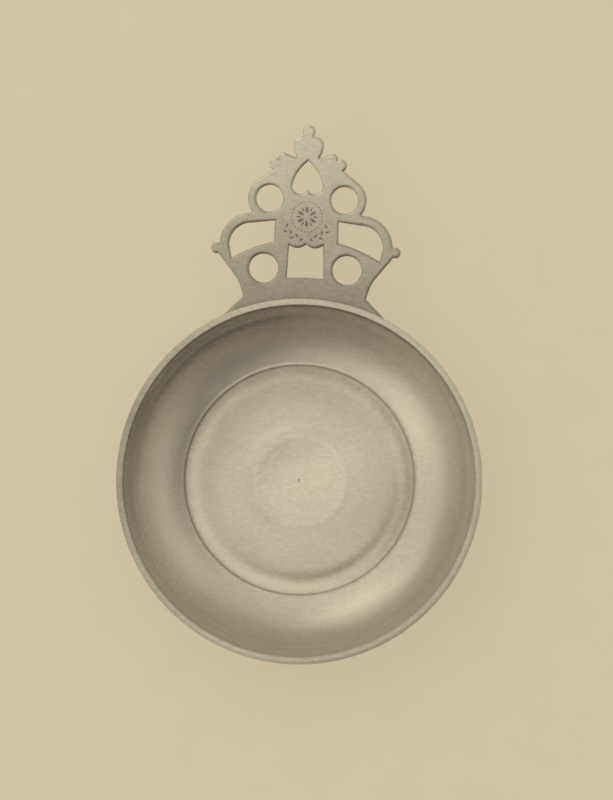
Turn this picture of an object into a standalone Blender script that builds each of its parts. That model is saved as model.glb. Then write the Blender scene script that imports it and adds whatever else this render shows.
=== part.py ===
"""Silver porringer: a raised, bellied bowl with a rim wire, a foot ring and a cast, pierced handle.

Metres, +Z up. The bowl stands on z = 0 and the handle points along +Y. The origin lies on the table
under the middle of the whole length, so the bowl's own axis stands off it towards -Y.
"""

import math

import bmesh
import bpy
from mathutils import Matrix, Vector

# Fits and fineness
JOINT_GAP = 0.0003  # clearance left where two soldered pieces meet
TURN_STEPS = 64  # facets round a turned piece
ARC_STEP = 0.0012  # longest chord on the handle's round stretches
POINT_MERGE = 0.0001  # points of an outline nearer than this are one

# Bowl, raised from one sheet: radii and levels are those of its inner face
SHEET = 0.0007
BOWL_HEIGHT = 0.0570  # table to the top of the rim wire
BELLY_RADIUS = 0.0674
BELLY_LEVEL = 0.0290  # height of the widest place above the table
NECK_INSET = 0.0048  # belly radius less neck radius
NECK_ROUND = 0.0009  # height of the rounding above and below the neck
COLLAR_HEIGHT = 0.0065
COLLAR_FLARE = 0.0030  # how far the collar opens from neck to lip
LIP_DROP = 0.00015  # how far the lip's edge lies under the top of the rim wire
DOME_RADIUS = 0.0442
DOME_SHOULDER_HEIGHT = 0.0005
DOME_SHOULDER_WIDTH = 0.0052
DOME_RISE = 0.0046  # shoulder to where the dome's middle would be without the dish
DISH_RADIUS = 0.0170  # hollow in the top of the dome
DISH_DEPTH = 0.0006
DISH_ROUND = 0.0056  # width of the rounded ridge about the dish
PUNCH_RADIUS = 0.0007  # compass point's mark in the middle
PUNCH_DEPTH = 0.0003
TROUGH_WIDTH = 0.0004  # flat gutter between the dome and the wall
WALL_START = 25.0  # degrees on the wall's oval, from its lowest place, at which it leaves the trough

# Rim wire: half oval, round side out
RIM_WIRE_HEIGHT = 0.0023
RIM_WIRE_DEPTH = 0.00278

# Foot ring
FOOT_HEIGHT = 0.0020  # table to the joint gap under the trough
FOOT_SETOUT = 0.0024  # trough's outer edge to the ring's inner face
FOOT_WIDTH = 0.0028
FOOT_SPLAY = 0.0005  # how far the outer face leans out at the table

# Handle: places are (across, out from the rim), for its right half, and draw out with its reach
HANDLE_REACH = 0.0652  # rim to the tip of the finial
HANDLE_ROOT_THICKNESS = 0.0030
HANDLE_TIP_THICKNESS = 0.0024
HANDLE_EDGE = 0.0004  # width of the chamfer on every edge
ROOT_HALF_ANGLE = 26.0  # degrees of rim that the root takes up on each side
WAIST_AT = (0.0232, 0.0001)  # narrowest place, just off the rim
FLANK_BEND = (0.0243, 0.0049)
FLANK_AT = (0.0260, 0.0073)
KNOB_RADIUS = 0.0020
KNOB_AT = (0.0337, 0.0180)
KNOB_ARC = (115, -110)  # arcs run clockwise between these angles, in degrees
LOOP_AT = (0.0206, 0.0196)  # middle of the side loop's rounding
LOOP_INNER_RADIUS = 0.0083
LOOP_BAND = 0.0037
LOOP_BAND_ARC = (88, 4)
LOOP_TOP_CORNER = (0.0120, 0.0290)
LOOP_LOW_CORNER = (0.0121, 0.0210)
LOOP_OUTER_CORNER = (0.0279, 0.0144)
LOOP_SILL_BULGE = 0.0007  # rise of the loop opening's lower edge over its chord
UPPER_HOLE_RADIUS = 0.00505
UPPER_HOLE_AT = (0.0141, 0.0372)
UPPER_BAND = 0.0032
UPPER_BAND_ARC = (52, -40)
LOWER_HOLE_RADIUS = 0.00545
LOWER_HOLE_AT = (0.0157, 0.0109)
LEAF_HOOK_RADIUS = 0.00225
LEAF_HOOK_AT = (0.0124, 0.0503)
LEAF_HOOK_ARC = (115, -65)
LEAF_LOBE_RADIUS = 0.00195
LEAF_LOBE_AT = (0.0092, 0.0527)
LEAF_LOBE_ARC = (95, -15)
LEAF_SWEEP = (0.0066, 0.0533)
LEAF_NOTCH = (0.0041, 0.0529)
URN_WAIST = (0.0056, 0.0551)
URN_LOBE_RADIUS = 0.0032
URN_LOBE_AT = (0.0025, 0.0577)
URN_LOBE_ARC = (100, -5)
FINIAL_BALL_RADIUS = 0.0024
FINIAL_BALL_AT = (0.0, 0.0628)
FINIAL_BALL_ARC = (90, -35)
HEART_TIP = 0.0517
HEART_CHEEK = (0.0048, 0.0474)
HEART_LOBE_AT = (0.00275, 0.0422)
HEART_CUSP = 0.0410
HEART_LOBE_START = 18  # degrees, where the cheek runs into the lobe
WINDOW_TOP_HALF_WIDTH = 0.0064
WINDOW_TOP = 0.0199
WINDOW_CUSP = 0.0202  # point between the two scallops of its upper edge
WINDOW_SCALLOP_DROP = 0.0012
WINDOW_SILL_HALF_WIDTH = 0.0069
WINDOW_SILL = 0.0077  # lower edge, which runs round the bowl's axis

# Solder fillets
ROOT_SEAM_LEG = 0.0014
ROOT_SEAM_DROP = 0.0009
FOOT_SEAM_LEG = 0.0009

# Levels and radii that follow from those above
TROUGH_LEVEL = FOOT_HEIGHT + JOINT_GAP + SHEET
TROUGH_RADIUS = DOME_RADIUS + TROUGH_WIDTH
FIRST_TURN = math.radians(WALL_START)
WALL_ACROSS = (BELLY_RADIUS - TROUGH_RADIUS) / (1 - math.sin(FIRST_TURN))  # half width of its ovals
NECK_RADIUS = BELLY_RADIUS - NECK_INSET
NECK_LEVEL = BOWL_HEIGHT - COLLAR_HEIGHT
COLLAR_ANGLE = math.atan2(COLLAR_FLARE, COLLAR_HEIGHT)
SEAT_DEPTH = SHEET + JOINT_GAP  # from the bowl's inner face to a piece seated on its outside
FOOT_INNER_RADIUS = TROUGH_RADIUS + FOOT_SETOUT
HANDLE_TOP = BOWL_HEIGHT - RIM_WIRE_HEIGHT - JOINT_GAP
HANDLE_BOTTOM = HANDLE_TOP - HANDLE_ROOT_THICKNESS
DRAW_OUT = HANDLE_REACH / (FINIAL_BALL_AT[1] + FINIAL_BALL_RADIUS)  # spreads the handle's places


def clear_scene():
    for old in list(bpy.data.objects):
        bpy.data.objects.remove(old)


def silver(name, colour, roughness):
    """A metal with one colour and roughness."""
    material = bpy.data.materials.new(name)
    material.use_nodes = True
    shader = material.node_tree.nodes["Principled BSDF"]
    shader.inputs["Base Color"].default_value = (*colour, 1.0)
    shader.inputs["Metallic"].default_value = 1.0
    shader.inputs["Roughness"].default_value = roughness
    return material


def on_circle(centre, radius, degrees):
    angle = math.radians(degrees)
    return (centre[0] + radius * math.cos(angle), centre[1] + radius * math.sin(angle))


def arc(centre, radius, start, end):
    """Points on a circle from one angle to another, in degrees, with chords up to ARC_STEP."""
    length = math.radians(abs(end - start)) * radius
    count = max(3, math.ceil(length / ARC_STEP))
    return [on_circle(centre, radius, start + (end - start) * i / count) for i in range(count + 1)]


def curve(start, control, end):
    """Points on a parabola that leaves start towards control and comes from it to end."""
    length = math.dist(start, control) + math.dist(control, end)
    count = max(3, math.ceil(length / ARC_STEP))
    points = []
    for i in range(count + 1):
        t = i / count
        a = Vector(start).lerp(control, t)
        b = Vector(control).lerp(end, t)
        points.append(tuple(a.lerp(b, t)))
    return points


def bulged(start, end, bulge):
    """Points on a curve over a chord, which stands off it to the left by bulge in the middle."""
    chord = Vector(end) - Vector(start)
    left = Vector((-chord.y, chord.x)).normalized()
    control = Vector(start) + chord / 2 + left * 2 * bulge
    return curve(start, tuple(control), end)


def joined(*stretches):
    """One chain of points, without the doubles where stretches meet."""
    chain = []
    for point in (p for stretch in stretches for p in stretch):
        if not chain or math.dist(point, chain[-1]) > POINT_MERGE:
            chain.append(point)
    return chain


def mirrored(points):
    return [(-x, y) for x, y in reversed(points)]


def dome_profile():
    """Inner face of the floor as (radius, height): punch mark, dish, dome and its shoulder."""
    shoulder_radius = DOME_RADIUS - DOME_SHOULDER_WIDTH
    dish_inside = DISH_RADIUS - DISH_ROUND / 2
    dish_outside = DISH_RADIUS + DISH_ROUND / 2

    def dome(radius):
        return TROUGH_LEVEL + DOME_SHOULDER_HEIGHT + DOME_RISE * (1 - (radius / shoulder_radius) ** 2)

    def level(radius):
        dish = dome(DISH_RADIUS) - DISH_DEPTH * (1 - (radius / DISH_RADIUS) ** 2)
        inward = min(1.0, max(0.0, (dish_outside - radius) / DISH_ROUND))
        return dome(radius) + (dish - dome(radius)) * inward**2 * (3 - 2 * inward)

    outer_rings = 3
    quarter_steps = 4
    radii = [PUNCH_RADIUS, dish_inside / 2, dish_inside, DISH_RADIUS, dish_outside]
    for i in range(1, outer_rings):
        radii.append(dish_outside + (shoulder_radius - dish_outside) * i / outer_rings)
    points = [(0.0, level(0.0) - PUNCH_DEPTH), *((radius, level(radius)) for radius in radii)]
    for i in range(quarter_steps + 1):
        turn = math.pi / 2 * i / quarter_steps
        radius = shoulder_radius + DOME_SHOULDER_WIDTH * math.sin(turn)
        points.append((radius, TROUGH_LEVEL + DOME_SHOULDER_HEIGHT * math.cos(turn)))
    return points


def wall_rise(turn):
    """Half height of the wall's oval under the belly, or of the one over it."""
    if turn < math.pi / 2:
        return (BELLY_LEVEL - TROUGH_LEVEL) / math.cos(FIRST_TURN)
    share = 1 - NECK_INSET / WALL_ACROSS
    return (NECK_LEVEL - BELLY_LEVEL) / math.sqrt(1 - share**2)


def wall_point(turn, depth=0.0):
    """Point on the wall's inner face or depth outside it; turn is pi / 2 at the belly."""
    rise = wall_rise(turn)
    outward = Vector((rise * math.sin(turn), -WALL_ACROSS * math.cos(turn))).normalized()
    radius = BELLY_RADIUS - WALL_ACROSS * (1 - math.sin(turn)) + depth * outward.x
    return (radius, BELLY_LEVEL - rise * math.cos(turn) + depth * outward.y)


def lower_wall_turn(radius):
    """Turn at which the wall under the belly has this inner radius."""
    return math.asin(1 - (BELLY_RADIUS - radius) / WALL_ACROSS)


def upper_wall_turn(level):
    """Turn at which the wall over the belly has this height."""
    return math.acos((BELLY_LEVEL - level) / wall_rise(math.pi))


def collar_point(level, depth=0.0):
    """Point on the collar's inner face, or depth outside it, at a height."""
    radius = NECK_RADIUS + (level - NECK_LEVEL) * math.tan(COLLAR_ANGLE)
    return (radius + depth / math.cos(COLLAR_ANGLE), level)


def wall_profile(depth=0.0):
    """Wall, rounded neck and collar, from the trough to the lip, or depth outside them."""
    last_turn = upper_wall_turn(NECK_LEVEL - NECK_ROUND)
    steps = 13
    step = (last_turn - FIRST_TURN) / steps
    wall = [wall_point(FIRST_TURN + step * i, depth) for i in range(steps + 1)]
    neck = curve(wall[-1], collar_point(NECK_LEVEL, depth), collar_point(NECK_LEVEL + NECK_ROUND, depth))
    return joined(wall, neck, [collar_point(BOWL_HEIGHT - LIP_DROP, depth)])


def seat_radius(level):
    """Radius, at a height over the belly, of a piece that seats against the bowl's outside."""
    outside = [point for point in wall_profile(SEAT_DEPTH) if point[1] > BELLY_LEVEL]
    for (low_radius, low), (high_radius, high) in zip(outside, outside[1:]):
        if low <= level <= high:
            return low_radius + (high_radius - low_radius) * (level - low) / (high - low)
    raise ValueError("the seat lies outside the upper wall")


def rim_radius():
    """Widest radius of the rim wire, which is the bowl's own."""
    middle = collar_point(BOWL_HEIGHT - RIM_WIRE_HEIGHT / 2, SEAT_DEPTH)[0]
    return middle + math.hypot(RIM_WIRE_DEPTH, RIM_WIRE_HEIGHT / 2 * math.tan(COLLAR_ANGLE))


def new_object(name, mesh, material, parent):
    mesh.materials.append(material)
    obj = bpy.data.objects.new(name, mesh)
    bpy.context.scene.collection.objects.link(obj)
    obj.parent = parent
    return obj


def object_from_bmesh(name, work, material, parent):
    bmesh.ops.recalc_face_normals(work, faces=work.faces[:])
    mesh = bpy.data.meshes.new(name)
    work.to_mesh(mesh)
    work.free()
    return new_object(name, mesh, material, parent)


def turned(name, profile, closed, material, parent):
    """An object whose (radius, height) profile turns a full circle about the bowl's axis."""
    mesh = bpy.data.meshes.new(name)
    count = len(profile)
    edges = [(i, (i + 1) % count) for i in range(count if closed else count - 1)]
    mesh.from_pydata([(radius, 0.0, height) for radius, height in profile], edges, [])
    obj = new_object(name, mesh, material, parent)
    screw = obj.modifiers.new("turn", "SCREW")
    screw.steps = TURN_STEPS
    screw.render_steps = TURN_STEPS
    screw.use_merge_vertices = True
    screw.merge_threshold = POINT_MERGE / 10
    screw.use_smooth_shade = True
    return obj


def make_bowl(material, parent):
    """One sheet: the inner face is turned, and the metal lies outside it."""
    profile = joined(dome_profile(), wall_profile())
    profile.reverse()
    bowl = turned("bowl", profile, False, material, parent)
    sheet = bowl.modifiers.new("sheet", "SOLIDIFY")
    sheet.thickness = SHEET
    sheet.offset = 1.0
    sheet.use_even_offset = True


def make_rim_wire(material, parent):
    """Half-oval wire round the lip: its flat side lies along the collar."""
    steps = 10
    profile = []
    for i in range(steps + 1):
        turn = math.pi / 2 - math.pi * i / steps
        level = BOWL_HEIGHT - RIM_WIRE_HEIGHT / 2 * (1 - math.sin(turn))
        seat = collar_point(level, SEAT_DEPTH)[0]
        profile.append((seat + RIM_WIRE_DEPTH * math.cos(turn), level))
    turned("rim_wire", profile, True, material, parent)


def make_foot_ring(material, parent):
    """Low ring under the bowl: its top lies along the wall, and it stands on a flat face."""
    seat_steps = 3
    radii = [FOOT_INNER_RADIUS + FOOT_WIDTH * i / seat_steps for i in range(seat_steps + 1)]
    seat = [wall_point(lower_wall_turn(radius), SEAT_DEPTH) for radius in radii]
    base = [(seat[-1][0] + FOOT_SPLAY, 0.0), (seat[0][0], 0.0)]
    turned("foot_ring", seat + base, True, material, parent)


def make_foot_seam(material, parent):
    """Fillet of solder in the corner inside the foot ring."""
    near_radius = FOOT_INNER_RADIUS - JOINT_GAP
    corner = Vector(wall_point(lower_wall_turn(near_radius), SEAT_DEPTH))
    low = corner - Vector((0.0, FOOT_SEAM_LEG))
    far = Vector(wall_point(lower_wall_turn(near_radius - FOOT_SEAM_LEG), SEAT_DEPTH))
    hollow = (corner + low + far) / 3
    turned("foot_solder_seam", [corner, low, hollow, far], True, material, parent)


def right_edge():
    """Right half of the handle's outer edge, from the top of the finial to the waist at the rim."""
    urn_lobe = arc(URN_LOBE_AT, URN_LOBE_RADIUS, *URN_LOBE_ARC)
    leaf_lobe = arc(LEAF_LOBE_AT, LEAF_LOBE_RADIUS, *LEAF_LOBE_ARC)
    return joined(
        arc(FINIAL_BALL_AT, FINIAL_BALL_RADIUS, *FINIAL_BALL_ARC),
        urn_lobe,
        curve(urn_lobe[-1], URN_WAIST, LEAF_NOTCH),
        curve(LEAF_NOTCH, LEAF_SWEEP, leaf_lobe[0]),
        leaf_lobe,
        arc(LEAF_HOOK_AT, LEAF_HOOK_RADIUS, *LEAF_HOOK_ARC),
        arc(UPPER_HOLE_AT, UPPER_HOLE_RADIUS + UPPER_BAND, *UPPER_BAND_ARC),
        arc(LOOP_AT, LOOP_INNER_RADIUS + LOOP_BAND, *LOOP_BAND_ARC),
        arc(KNOB_AT, KNOB_RADIUS, *KNOB_ARC),
        curve(FLANK_AT, FLANK_BEND, WAIST_AT),
    )


def outer_edge():
    """The handle's whole outer edge: the two halves, and the root that hugs the collar."""
    right = right_edge()
    bowl_axis = (0.0, -rim_radius())
    first = 90 - ROOT_HALF_ANGLE
    last = 90 + ROOT_HALF_ANGLE
    return joined(
        right,
        [on_circle(bowl_axis, rim_radius(), first)],
        arc(bowl_axis, seat_radius(HANDLE_TOP), first, last),
        [on_circle(bowl_axis, rim_radius(), last)],
        mirrored(right)[:-1],
    )


def heart():
    """Heart with its point to the finial and its lobes to the bowl."""
    cusp = (0.0, HEART_CUSP)
    radius = math.dist(HEART_LOBE_AT, cusp)
    cusp_angle = math.degrees(math.atan2(HEART_CUSP - HEART_LOBE_AT[1], -HEART_LOBE_AT[0]))
    lobe = arc(HEART_LOBE_AT, radius, HEART_LOBE_START, cusp_angle)
    right = joined(curve((0.0, HEART_TIP), HEART_CHEEK, lobe[0]), lobe)
    return right + mirrored(right)[1:-1]


def loop_opening():
    """Right side opening: a straight inner side, an arched sill and a round outer shoulder."""
    return joined(
        [LOOP_TOP_CORNER],
        bulged(LOOP_LOW_CORNER, LOOP_OUTER_CORNER, LOOP_SILL_BULGE),
        arc(LOOP_AT, LOOP_INNER_RADIUS, 0, 90),
    )


def window():
    """Square opening with two scallops above and a sill that follows the bowl."""
    corner = (WINDOW_TOP_HALF_WIDTH, WINDOW_TOP)
    bowl_axis = (0.0, -rim_radius())
    sill_radius = rim_radius() + WINDOW_SILL
    sill_angle = math.degrees(math.asin(WINDOW_SILL_HALF_WIDTH / sill_radius))
    sill = arc(bowl_axis, sill_radius, 90 - sill_angle, 90)
    right = bulged((0.0, WINDOW_CUSP), corner, -WINDOW_SCALLOP_DROP) + sill
    return right + mirrored(right)[1:-1]


def piercings():
    """Every opening of the handle, as closed loops."""
    right = [
        arc(UPPER_HOLE_AT, UPPER_HOLE_RADIUS, 0, 360)[:-1],
        arc(LOWER_HOLE_AT, LOWER_HOLE_RADIUS, 0, 360)[:-1],
        loop_opening(),
    ]
    return [heart(), window(), *right, *(mirrored(points) for points in right)]


def drawn_out(points):
    """Places beyond the rim, spread so that the handle has its reach."""
    return [(x, y * DRAW_OUT if y > 0 else y) for x, y in points]


def fit_root_and_taper(work):
    """Leans the root's inner face along the collar, and thins the handle towards its tip."""
    seat = seat_radius(HANDLE_TOP)
    lean = seat_radius(HANDLE_BOTTOM) - seat
    for vertex in work.verts:
        depth = -vertex.co.z / HANDLE_ROOT_THICKNESS
        plan = vertex.co.xy
        if plan.length < seat + 2 * HANDLE_EDGE:
            plan *= 1 + lean * depth / plan.length
        along = min(1.0, max(0.0, (plan.y - rim_radius()) / HANDLE_REACH))
        thickness = HANDLE_ROOT_THICKNESS + (HANDLE_TIP_THICKNESS - HANDLE_ROOT_THICKNESS) * along
        vertex.co = (plan.x, plan.y, -depth * thickness)


def make_handle(material, parent):
    """Cast plate: half its thickness is raised from the outlines and chamfered, then mirrored."""
    half = HANDLE_ROOT_THICKNESS / 2
    work = bmesh.new()
    for loop in [outer_edge(), *piercings()]:
        corners = [work.verts.new((x, y + rim_radius(), 0.0)) for x, y in drawn_out(loop)]
        for corner, following in zip(corners, corners[1:] + corners[:1]):
            work.edges.new((corner, following))
    bmesh.ops.triangle_fill(work, edges=work.edges[:], use_beauty=True, normal=(0, 0, 1))
    middle = work.faces[:]
    raised = bmesh.ops.extrude_face_region(work, geom=middle)["geom"]
    raised_points = [item for item in raised if isinstance(item, bmesh.types.BMVert)]
    top = [item for item in raised if isinstance(item, bmesh.types.BMFace)]
    bmesh.ops.translate(work, verts=raised_points, vec=(0, 0, half - HANDLE_EDGE))
    bmesh.ops.delete(work, geom=[face for face in middle if face.is_valid], context="FACES")
    bmesh.ops.recalc_face_normals(work, faces=work.faces[:])
    bmesh.ops.inset_region(
        work, faces=top, thickness=HANDLE_EDGE, depth=HANDLE_EDGE, use_boundary=True, use_even_offset=True
    )
    everything = work.verts[:] + work.edges[:] + work.faces[:]
    bmesh.ops.mirror(work, geom=everything, axis="Z", merge_dist=POINT_MERGE / 10)
    bmesh.ops.translate(work, verts=work.verts[:], vec=(0, 0, -half))
    fit_root_and_taper(work)
    handle = object_from_bmesh("handle", work, material, parent)
    handle.location.z = HANDLE_TOP


def make_root_seam(material, parent):
    """Fillet of solder under the handle's root, along the collar."""
    top = HANDLE_BOTTOM - JOINT_GAP
    low = top - ROOT_SEAM_DROP
    corner = Vector((0.0, seat_radius(top), top))
    far = corner + Vector((0.0, ROOT_SEAM_LEG, 0.0))
    foot = Vector((0.0, seat_radius(low), low))
    hollow = (corner + far + foot) / 3
    half_turn = math.radians(ROOT_HALF_ANGLE)
    work = bmesh.new()
    section = work.faces.new([work.verts.new(point) for point in (corner, far, hollow, foot)])
    bmesh.ops.rotate(work, verts=work.verts[:], matrix=Matrix.Rotation(-half_turn, 3, "Z"))
    steps = math.ceil(TURN_STEPS * half_turn / math.pi)
    bmesh.ops.spin(work, geom=[section], axis=(0, 0, 1), angle=2 * half_turn, steps=steps)
    object_from_bmesh("handle_solder_seam", work, material, parent)


def main():
    clear_scene()
    bowl_axis = bpy.data.objects.new("bowl_axis", None)
    bpy.context.scene.collection.objects.link(bowl_axis)
    bowl_axis.location.y = -HANDLE_REACH / 2
    raised = silver("raised_silver", (0.78, 0.75, 0.69), 0.24)
    cast = silver("cast_silver", (0.74, 0.71, 0.65), 0.30)
    drawn = silver("drawn_silver_wire", (0.80, 0.77, 0.71), 0.22)
    solder = silver("silver_solder", (0.66, 0.64, 0.58), 0.38)
    make_bowl(raised, bowl_axis)
    make_rim_wire(drawn, bowl_axis)
    make_foot_ring(drawn, bowl_axis)
    make_foot_seam(solder, bowl_axis)
    make_handle(cast, bowl_axis)
    make_root_seam(solder, bowl_axis)


main()
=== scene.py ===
"""Silver porringer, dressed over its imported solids: raised bowl, wires, solder and cast, pierced handle.

Metres, +Z up, in the frame of the solids. The handle points along +Y and the bowl stands on z = 0.
"""

import math

import bmesh
import bpy
from bpy.props import FloatProperty, FloatVectorProperty, IntProperty, PointerProperty
from bpy.types import Operator, Panel, PropertyGroup
from mathutils import Matrix, Vector


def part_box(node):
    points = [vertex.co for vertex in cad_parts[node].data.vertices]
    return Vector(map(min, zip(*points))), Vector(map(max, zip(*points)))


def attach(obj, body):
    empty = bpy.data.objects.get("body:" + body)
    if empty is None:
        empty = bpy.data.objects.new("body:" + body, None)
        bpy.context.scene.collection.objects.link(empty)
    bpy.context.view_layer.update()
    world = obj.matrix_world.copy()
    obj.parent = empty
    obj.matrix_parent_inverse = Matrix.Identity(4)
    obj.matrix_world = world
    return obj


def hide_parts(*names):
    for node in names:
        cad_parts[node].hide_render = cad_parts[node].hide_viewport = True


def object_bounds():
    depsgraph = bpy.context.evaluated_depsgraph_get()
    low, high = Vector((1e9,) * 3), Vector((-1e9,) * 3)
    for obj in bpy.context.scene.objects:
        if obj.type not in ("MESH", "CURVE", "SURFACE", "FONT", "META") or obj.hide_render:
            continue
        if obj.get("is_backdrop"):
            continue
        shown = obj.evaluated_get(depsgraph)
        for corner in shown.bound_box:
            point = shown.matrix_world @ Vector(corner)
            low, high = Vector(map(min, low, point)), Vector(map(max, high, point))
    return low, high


bl_info = {
    "name": "Silver Porringer",
    "version": (1, 0, 0),
    "blender": (4, 5, 0),
    "location": "View3D > Sidebar > Porringer",
    "description": "Models a silver porringer's bowl, wires, solder and pierced handle over its solids",
    "category": "Object",
}

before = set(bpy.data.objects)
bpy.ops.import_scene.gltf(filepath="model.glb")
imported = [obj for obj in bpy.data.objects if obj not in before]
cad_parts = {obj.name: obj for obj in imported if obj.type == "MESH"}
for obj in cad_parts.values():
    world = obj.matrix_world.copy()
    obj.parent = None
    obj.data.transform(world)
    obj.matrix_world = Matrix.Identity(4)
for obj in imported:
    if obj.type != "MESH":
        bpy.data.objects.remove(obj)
SOLIDS_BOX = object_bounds()
RIM_LOW, RIM_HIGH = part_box("rim_wire")
HANDLE_LOW, HANDLE_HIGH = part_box("handle")
RIM_RADIUS = (RIM_HIGH.x - RIM_LOW.x) / 2
BOWL_AXIS = Vector(((RIM_LOW.x + RIM_HIGH.x) / 2, (RIM_LOW.y + RIM_HIGH.y) / 2, 0.0))

# Handle's outline: places are (across, out from the rim) on its right half, arcs run clockwise in degrees
ROOT_HALF_ANGLE = 26.0
WAIST_AT = (0.0232, 0.0001)
FLANK_BEND = (0.0243, 0.0049)
FLANK_AT = (0.0260, 0.0073)
KNOB_RADIUS = 0.0020
KNOB_AT = (0.0337, 0.0180)
KNOB_ARC = (115, -110)
LOOP_AT = (0.0206, 0.0196)
LOOP_INNER_RADIUS = 0.0083
LOOP_BAND = 0.0037
LOOP_BAND_ARC = (88, 4)
LOOP_TOP_CORNER = (0.0120, 0.0290)
LOOP_LOW_CORNER = (0.0121, 0.0210)
LOOP_OUTER_CORNER = (0.0279, 0.0144)
LOOP_SILL_BULGE = 0.0007
UPPER_HOLE_RADIUS = 0.00505
UPPER_HOLE_AT = (0.0141, 0.0372)
UPPER_BAND = 0.0032
UPPER_BAND_ARC = (52, -40)
LOWER_HOLE_RADIUS = 0.00545
LOWER_HOLE_AT = (0.0157, 0.0109)
LEAF_HOOK_RADIUS = 0.00225
LEAF_HOOK_AT = (0.0124, 0.0503)
LEAF_HOOK_ARC = (115, -65)
LEAF_LOBE_RADIUS = 0.00195
LEAF_LOBE_AT = (0.0092, 0.0527)
LEAF_LOBE_ARC = (95, -15)
LEAF_SWEEP = (0.0066, 0.0533)
LEAF_NOTCH = (0.0041, 0.0529)
URN_WAIST = (0.0056, 0.0551)
URN_LOBE_RADIUS = 0.0032
URN_LOBE_AT = (0.0025, 0.0577)
URN_LOBE_ARC = (100, -5)
FINIAL_BALL_RADIUS = 0.0024
FINIAL_BALL_AT = (0.0, 0.0628)
FINIAL_BALL_ARC = (90, -35)
HEART_TIP = 0.0517
HEART_CHEEK = (0.0048, 0.0474)
HEART_LOBE_AT = (0.00275, 0.0422)
HEART_CUSP = 0.0410
HEART_LOBE_START = 18
WINDOW_TOP_HALF_WIDTH = 0.0064
WINDOW_TOP = 0.0199
WINDOW_CUSP = 0.0202
WINDOW_SCALLOP_DROP = 0.0012
WINDOW_SILL_HALF_WIDTH = 0.0069
WINDOW_SILL = 0.0077

# Rosette cut into the plate: rays are (count, start radius, length, width, first angle)
ROSETTE_AT = (0.0, 0.0306)
PETALS = (6, 0.0008, 0.0037, 0.0015, 90)
DARTS = (6, 0.0020, 0.0023, 0.0005, 60)
BORDER_RADIUS = 0.0057
BORDER_PIPS = 26
BORDER_PIP = (0.0009, 0.00042)  # length and width
SPRIG_START = (0.0011, 0.0227)
SPRIG_BEND = (0.0066, 0.0218)
SPRIG_END = (0.0085, 0.0279)
SPRIG_LEAVES = 6
SPRIG_LEAF = (0.0023, 0.00085)  # length and width
SPRIG_LEAN = 40  # degrees that each leaf leans off the stem, by turns to either side

# Tarnish that hollows and joints keep, and the painted shade under the neck's overhang: (amount, width)
NECK_TARNISH = (0.20, 0.0016)
# Painted shade under the neck's overhang, a dark ring on the inner wall, together with tarnish
OVERHANG_SHADE_AND_TARNISH = (0.16, 0.0024)
TROUGH_TARNISH = (0.25, 0.0008)
FOOT_JOINT_TARNISH = (0.50, 0.0040)
WIRE_JOINT_TARNISH = (0.50, 0.0012)

# Tarnish of whole faces, and the painted shade of the handle's top
LIP_TARNISH = 0.40
OUTSIDE_TARNISH = 0.12
UNDERSIDE_TARNISH = 0.35
FOOT_TOP_TARNISH = 0.55
SOLDER_TARNISH = 0.35
HANDLE_SIDE_TARNISH = 0.50  # also on its back
ENGRAVED_TARNISH = 1.0
# Painted shade: the handle's top is darker towards its root and paler at the finial
HANDLE_ROOT_PAINTED_SHADE = 0.72
HANDLE_TIP_PAINTED_SHADE = 0.12
# The handle's tarnish named in the next comment is this painted shade
ROOT_DEPTH = 0.004  # how far inside the rim the handle's tarnish starts to fade

# Painted shade on one side of the bowl's inside, and painted highlight where the amount is below 0:
# (azimuth, amount, (radius, height), width)
UNDER_NECK = (0.0620, 0.0160)
COLLAR = (0.0645, 0.05375)
SHOULDER = (0.0416, 0.0036)
SIDE_PAINTED_LIGHT = (
    (145, 0.56, COLLAR, 0.0050),
    (80, 0.30, COLLAR, 0.0050),
    (195, 0.16, COLLAR, 0.0050),
    (62, 0.28, (0.0664, 0.0567), 0.0014),
    (315, -0.16, COLLAR, 0.0050),
    (125, 0.52, UNDER_NECK, 0.0050),
    (85, 0.34, (0.0575, 0.0105), 0.0050),
    (310, -0.16, (0.0570, 0.0100), 0.0060),
    (30, -0.12, (0.0570, 0.0100), 0.0060),
    (184, -0.16, (0.0537, 0.0076), 0.0042),
    (150, 0.14, (0.0495, 0.0055), 0.0030),
    (75, -0.12, (0.0485, 0.0048), 0.0030),
    (165, 0.42, (0.0457, 0.0034), 0.0030),
    (110, -0.30, (0.0444, 0.0031), 0.0008),
    (135, 0.14, (0.0125, 0.0069), 0.0048),
    (140, -0.12, (0.0205, 0.0069), 0.0026),
    (195, 0.14, (0.0200, 0.0069), 0.0040),
    (350, 0.36, SHOULDER, 0.0022),
    (95, 0.30, SHOULDER, 0.0022),
    (280, -0.14, SHOULDER, 0.0026),
    (300, 0.42, (0.0372, 0.0041), 0.0020),
)
# Painted shade on the rim wire's left side
RIM_SIDE_PAINTED_SHADE = (170, 0.40, (RIM_RADIUS, RIM_HIGH.z), 0.0040)

# Patterns of tarnish: (scale, detail, roughness, depth); turns are in radians
CLOUDS = (34.0, 4.0, 0.55, 0.30)
SPECKS = (700.0, 3.0, 0.60, 0.30)
RUBS = (330.0, 3.0, 0.60, 0.34)
RUB_TURN = (0.0, 0.0, 0.9)
RUB_STRETCH = (1.0, 4.0, 1.0)

# Fine lines: those that polishing leaves round the bowl, and those drawn across the rest
ROUND_LINES = {"Scale": 1900.0, "Detail": 3.0}
DRAWN_LINES = {"Scale": 150.0, "Detail": 4.0}
DRAWN_TURN = (0.0, 0.0, 0.5)
DRAWN_STRETCH = (1.0, 14.0, 14.0)

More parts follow.
